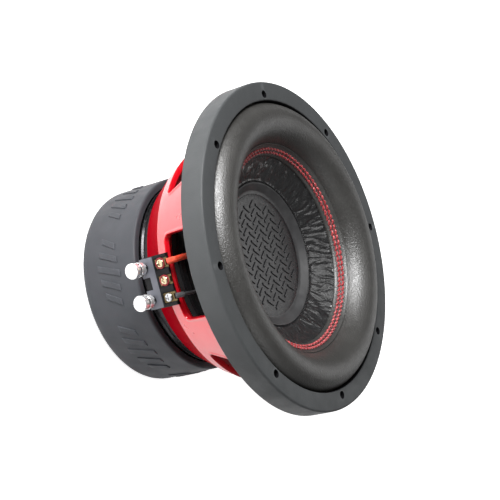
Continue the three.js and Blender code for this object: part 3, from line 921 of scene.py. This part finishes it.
# ---- Motor ----
def boot():
    outline = rounded(
        [
            (34.0, BOOT_REAR_Z, 0.8),
            (BOOT_R, BOOT_REAR_Z, 11.0),
            (BOOT_R, BOOT_TOP_Z, 3.0),
            (90.3, BOOT_TOP_Z, 0.8),
            (90.3, BACK_PLATE_Z[0] - 0.3, 0),
            (34.0, BACK_PLATE_Z[0] - 0.3, 0),
        ],
        8,
    )
    parts = [spun(outline, even_angles(240))]
    groups, bars = 7, 5
    for g in range(groups):
        for b in range(bars):
            middle = TAU * g / groups + (b - (bars - 1) / 2) * 13.5 / BOOT_R
            tall = 27.0 - 5.0 * abs(b - (bars - 1) / 2)

            def on_side(u, v, h, middle=middle):
                return polar(BOOT_R + h, 28.0 + v, middle + u / BOOT_R)

            parts.append(pad(6.4, tall, 9.0, 1.1, on_side))
    piece = mesh_piece("rubber_boot", *gather(parts), sharp=30.0)
    dress(piece, FIXED, "boot_rubber", BOOT, "magnet_boot")


def top_plate():
    """A black disc with a stepped rim, whose narrow slope catches the light."""
    low, high = TOP_PLATE_Z
    outline = rounded(
        [
            (41.8, low, 0.3),
            (90.0, low, 0.4),
            (90.0, low + 6.4, 0.4),
            (88.4, low + 8.0, 0.3),
            (88.4, high - 1.2, 0.4),
            (87.2, high, 0.4),
            (41.8, high, 0.4),
        ]
    )
    piece = turned("black_top_plate", outline, 200, sharp=50.0)
    dress(piece, FIXED, "black_steel", BLACK_STEEL, "top_plate")


def pole_piece():
    low, seat = BACK_PLATE_Z[0], BACK_PLATE_Z[1] + 0.3
    outline = rounded(
        [
            (19.0, low, 0.6),
            (30.0, low, 0.3),
            (30.0, seat, 0),
            (36.2, seat, 0),
            (36.2, POLE_TOP_Z, 1.4),
            (19.0, POLE_TOP_Z, 1.0),
            (14.0, POLE_TOP_Z - 5.0, 1.2),
            (14.0, low + 5.0, 1.2),
        ]
    )
    piece = turned("vented_pole", outline, 120, sharp=50.0)
    dress(piece, FIXED, "bare_steel", BARE_STEEL, "pole_piece")


# ---- Terminal blocks: x runs outwards, y round the basket and z forwards ----
def outward(outline, y, z, segments=48):
    """A piece turned about an outward line, from an outline of (radius, distance) points."""
    points, faces = spun(outline, even_angles(segments))
    return [(p[2], y + p[1], z + p[0]) for p in points], faces


def block_piece(name, parts, letter, sharp=35.0):
    turn = Matrix.Rotation(math.radians(TERMINAL_DEG[letter]), 3, "Z")
    points, faces = gather(parts)
    return mesh_piece(name, [tuple(turn @ Vector(p)) for p in points], faces, sharp)


POST_FOOT, POST_TIP = PLATE_R + 0.3, PLATE_R + 13.1
COLLAR_T = 3.0
BARREL_R = 5.3
CAP_MOUTH, CAP_ROOF = PLATE_R + 6.7, PLATE_R + 18.3
SPRING = (PLATE_R + 13.6, PLATE_R + 17.6)
SPRING_R, SPRING_TURNS = 3.6, 3


def push_post(tag, y, letter):
    """A stem through the plate and a barrel on it."""
    stem_r, stem_end, shoulder = 3.0, POST_FOOT - 9.1, POST_FOOT + COLLAR_T
    barrel = rounded(
        [
            (0, stem_end, 0),
            (stem_r, stem_end, 0.3),
            (stem_r, shoulder, 0),
            (BARREL_R, shoulder, 0.5),
            (BARREL_R, POST_TIP, 0.6),
            (0, POST_TIP, 0),
        ]
    )
    post = block_piece(f"chrome_post_{tag}", [outward(barrel, y, POST_Z)], letter)
    dress(post, FIXED, "chrome", CHROME, f"push_post_{tag}")


def painted_hole_shade(tag, y, letter):
    """A black disc at each end of the barrel's cross hole: painted shade for the hole's dark inside, as the
    barrel itself is drawn solid.
    """
    radius, low, high = 1.5, 5.15, 5.4
    middle = POST_FOOT + 4.9
    disc = rounded([(0, low, 0), (radius, low, 0.1), (radius, high, 0), (0, high, 0)], 2)
    points, faces = outward(disc, 0, 0, 24)
    eyes = []
    for side in (-1, 1):
        eyes.append(([(middle + p[2], y + p[1], POST_Z + side * p[0]) for p in points], faces))
    eye = block_piece(f"painted_hole_shade_{tag}", eyes, letter)
    dress(eye, FIXED, "black_plastic", BLACK_PLASTIC)


def post_insulator(tag, y, letter):
    """The black collar between the plate and the barrel."""
    inner, outer = 3.2, 4.3
    low, high = POST_FOOT, POST_FOOT + COLLAR_T
    collar = rounded([(inner, low, 0), (outer, low, 0.3), (outer, high, 0.3), (inner, high, 0)])
    ring = block_piece(f"post_insulator_{tag}", [outward(collar, y, POST_Z)], letter)
    dress(ring, FIXED, "black_plastic", BLACK_PLASTIC)


def push_cap(tag, y, letter):
    """A cup with a groove round it, and a black band in the groove as painted shade for the groove's shadow.
    """
    cup = rounded(
        [
            (5.8, CAP_MOUTH, 0.2),
            (6.9, CAP_MOUTH, 0.6),
            (6.9, CAP_MOUTH + 5.4, 0.8),
            (6.1, CAP_MOUTH + 5.8, 0.2),
            (6.1, CAP_MOUTH + 7.5, 0.2),
            (7.3, CAP_MOUTH + 7.8, 0.8),
            (7.3, CAP_ROOF + 2.2, 1.1),
            (0, CAP_ROOF + 2.2, 0),
            (0, CAP_ROOF, 0),
            (5.8, CAP_ROOF, 0),
        ]
    )
    cap = block_piece(f"chrome_cap_{tag}", [outward(cup, y, POST_Z)], letter)
    dress(cap, f"push_cap_{tag}_body", "chrome", CHROME, f"push_cap_{tag}")
    # Painted shade: a black band that stands in for the shadow in the groove.
    groove = rounded(
        [
            (6.15, CAP_MOUTH + 5.9, 0),
            (6.6, CAP_MOUTH + 5.9, 0.2),
            (6.6, CAP_MOUTH + 7.4, 0.2),
            (6.15, CAP_MOUTH + 7.4, 0),
        ]
    )
    painted_groove_shade = block_piece(f"cap_painted_groove_shade_{tag}", [outward(groove, y, POST_Z)], letter)
    dress(painted_groove_shade, f"push_cap_{tag}_body", "black_plastic", BLACK_PLASTIC)


def cap_spring(tag, y, letter):
    """A coil between the barrel's end and the cap's roof."""
    steps = 60
    low, high = SPRING
    coil = []
    for k in range(steps + 1):
        t = k / steps
        a = TAU * SPRING_TURNS * t
        spot = (low + (high - low) * t, y + SPRING_R * math.cos(a), POST_Z + SPRING_R * math.sin(a))
        coil.append(spot)
    spring = block_piece(f"cap_spring_{tag}", [swept(coil, 0.32, 8)], letter)
    dress(spring, FIXED, "bare_steel", BARE_STEEL, f"push_spring_{tag}")
    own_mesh(spring)


def push_terminal(index, y, letter):
    tag = f"{index}_{letter}"
    push_post(tag, y, letter)
    painted_hole_shade(tag, y, letter)
    post_insulator(tag, y, letter)
    push_cap(tag, y, letter)
    cap_spring(tag, y, letter)


def lug_screw(index, y, letter, look):
    """A pan head with a cross recess over a plain shank."""
    seat = PLATE_R + 2.0
    tip = seat - 4.2
    shank_r, head_r = 1.3, 3.9
    head = rounded(
        [
            (0, tip, 0),
            (shank_r, tip, 0.1),
            (shank_r, seat, 0),
            (head_r, seat, 0.2),
            (head_r, seat + 1.6, 1.0),
            (0, seat + 2.5, 0),
        ]
    )
    screw = block_piece(f"pan_screw_{index}_{letter}", [outward(head, y, LUG_Z, 32)], letter)
    arm, half_slot = 2.4, 0.5
    depth = (seat + 0.9, seat + 4)
    recess = [
        brick(depth, (y - a, y + a), (LUG_Z - b, LUG_Z + b))
        for a, b in ((arm, half_slot), (half_slot, arm))
    ]
    carve(screw, block_piece("recess", recess, letter))
    dress(screw, FIXED, "brass", look, f"lug_screw_{index}_{letter}")


def lug_ring(index, y, letter):
    """A red washer under a lug's screw."""
    low, high = PLATE_R + 1.9, PLATE_R + 3.4
    ring = rounded([(4.1, low, 0), (5.1, low, 0.2), (5.1, high, 0.5), (4.1, high, 0.3)], 3)
    piece = block_piece(f"lug_washer_{index}_{letter}", [outward(ring, y, LUG_Z, 36)], letter)
    dress(piece, FIXED, "red_sleeve", RED_PLASTIC)


def lead(name, letter, y, sag, look, slot, width, node):
    """A tinsel lead from its lug, through the window and over the spider to the cone's neck."""
    path = spline(
        [
            (121.0, y, 115.0),
            (119.4, y * 1.01, 118.6),
            (115, y * 1.02, 121.5),
            (97, y * 1.05, 121 - sag),
            (73, y * 0.95, 114 - sag),
            (54, y * 0.8, 114),
            (43, y * 0.6, 117),
        ],
        10,
    )
    piece = block_piece(name, [swept(path, width, 16)], letter)
    dress(piece, None, slot, look, node)
    bend_between(piece)


def terminal_block(letter):
    for index, y in ((1, -POST_Y), (2, POST_Y)):
        push_terminal(index, y, letter)
    for index, y in ((1, -LUG_Y), (2, 0.0), (3, LUG_Y)):
        lug_screw(index, y, letter, BARE_STEEL if index == 3 else BRASS)
        if index < 3:
            lug_ring(index, y, letter)
    lead(
        f"red_lead_{letter}", letter, -LUG_Y, 0, RED_SLEEVE, "red_sleeve",
        lambda share: 3.1 - 0.9 * share, f"tinsel_lead_positive_{letter}",
    )
    lead(
        f"grey_lead_{letter}", letter, LUG_Y, 1.5, GREY_SLEEVE, "grey_sleeve",
        lambda share: 2.4 if share < 0.3 else 1.5, f"tinsel_lead_negative_{letter}",
    )


# ---- CAD nodes that keep their own shape ----
def carried(looks):
    """Gives each CAD node that is still shown its material and slightly eased edges."""
    for start, (look, ease) in looks.items():
        for name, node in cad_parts.items():
            if not name.startswith(start) or node.hide_render:
                continue
            node.data.materials.clear()
            node.data.materials.append(look)
            if ease:
                bevel = node.modifiers.new("eased_edges", "BEVEL")
                bevel.width = ease * MM
                bevel.segments = 2
                bevel.limit_method = "ANGLE"
                bevel.angle_limit = math.radians(40)


# ---- Studio ----
def studio():
    world = bpy.data.worlds.new("studio")
    bpy.context.scene.world = world
    world.use_nodes = True
    sky = world.node_tree.nodes["Background"]
    sky.inputs["Color"].default_value = (1, 1, 1, 1)
    sky.inputs["Strength"].default_value = 0.18
    pale_floor()
    area_light("key_box", (-1080, -830, 900), (0, 0, 160), 700, 42.0)
    area_light("front_box", (-560, -80, 1450), (0, 0, 170), 800, 3.0)
    area_light("side_box", (-900, -1300, 200), (0, 0, 90), 800, 3.0)
    area_light("right_box", (1100, -560, 940), (0, 0, 170), 600, 1.8)
    area_light("far_box", (300, 1350, 850), (0, 0, 170), 1000, 3.0)


def pale_floor():
    """A white floor under the magnet. From below it is clear, so that views from under it show the object."""
    size, level = 9000, BOOT_REAR_Z - 0.5
    corners = [(-size, -size, level), (size, -size, level), (size, size, level), (-size, size, level)]
    floor = mesh_piece("floor", corners, [(0, 1, 2, 3)])
    look = Look("pale_floor", (0.9, 0.9, 0.9), 0.9)
    look.set("Emission Color", (1, 1, 1, 1))
    rays = look.node("ShaderNodeLightPath")
    seen = look.span(rays.outputs["Is Camera Ray"], 0.0, 1.0, 0.3, 0.85)
    mirrored = look.span(rays.outputs["Is Glossy Ray"], 0.0, 1.0, 0.0, 0.28)
    total = look.node("ShaderNodeMath", operation="ADD")
    look.link(seen, total.inputs[0])
    look.link(mirrored, total.inputs[1])
    look.link(total.outputs[0], look.surface.inputs["Emission Strength"])
    look.bump(look.noise(3.0), 0.02)
    side = look.node("ShaderNodeNewGeometry")
    clear = look.node("ShaderNodeBsdfTransparent")
    choose = look.node("ShaderNodeMixShader")
    look.link(side.outputs["Backfacing"], choose.inputs["Fac"])
    look.link(look.surface.outputs["BSDF"], choose.inputs[1])
    look.link(clear.outputs["BSDF"], choose.inputs[2])
    look.link(choose.outputs["Shader"], look.tree.nodes["Material Output"].inputs["Surface"])
    floor.data.materials.append(look.material)


def area_light(name, place, target, size, power):
    light = bpy.data.lights.new(name, "AREA")
    light.size = size * MM
    light.energy = power
    lamp = bpy.data.objects.new(name, light)
    lamp.location = in_frame(place)
    lamp.rotation_mode = "QUATERNION"
    lamp.rotation_quaternion = (Vector(target) - Vector(place)).to_track_quat("-Z", "Y")
    bpy.context.scene.collection.objects.link(lamp)


def camera():
    azimuth, elevation = math.radians(VIEW_AZIMUTH), math.radians(VIEW_ELEVATION)
    back = Vector(
        (
            math.sin(azimuth) * math.cos(elevation),
            -math.cos(azimuth) * math.cos(elevation),
            math.sin(elevation),
        )
    )
    data = bpy.data.cameras.new("camera")
    data.lens = VIEW_LENS
    data.clip_start, data.clip_end = 0.05, 50
    eye = bpy.data.objects.new("camera", data)
    eye.location = in_frame(Vector(VIEW_TARGET) + back * VIEW_DISTANCE)
    eye.rotation_mode = "QUATERNION"
    roll = Quaternion((0, 0, 1), math.radians(VIEW_ROLL))
    eye.rotation_quaternion = (-back).to_track_quat("-Z", "Y") @ roll
    bpy.context.scene.collection.objects.link(eye)
    bpy.context.scene.camera = eye


trim_ring()
surround()
cone()
dust_cap()
cap_face()
seam_beads()
stitch_row("stitches_outer", STITCH_R[1], "stitch_row_outer")
stitch_row("stitches_inner", STITCH_R[0], "stitch_row_inner")
spider("lower_spider_cloth", LOWER_SPIDER_Z, "lower_spider")
spider("upper_spider_cloth", UPPER_SPIDER_Z, "upper_spider")
basket()
boot()
top_plate()
pole_piece()
for block in TERMINAL_DEG:
    terminal_block(block)
carried(
    {
        "flange_gasket": (FOAM, 0),
        "front_magnet": (FERRITE, 0.5),
        "rear_magnet": (FERRITE, 0.5),
        "back_plate": (BLACK_STEEL, 0.5),
        "vent_screen": (BLACK_STEEL, 0),
        "shorting_ring": (COPPER, 0),
        "inner_winding": (COPPER, 0),
        "outer_winding": (COPPER, 0),
        "coil_former": (FORMER, 0),
        "spider_spacer": (BLACK_PLASTIC, 0.4),
        "basket_bolt": (BLACK_STEEL, 0.3),
        "terminal_base": (BLACK_PLASTIC, 0.4),
        "terminal_plate": (GREY_PLASTIC, 0.3),
        "solder_lug": (DULL_BRASS, 0.15),
    }
)
studio()
camera()
bpy.context.scene.view_settings.view_transform = "Standard"
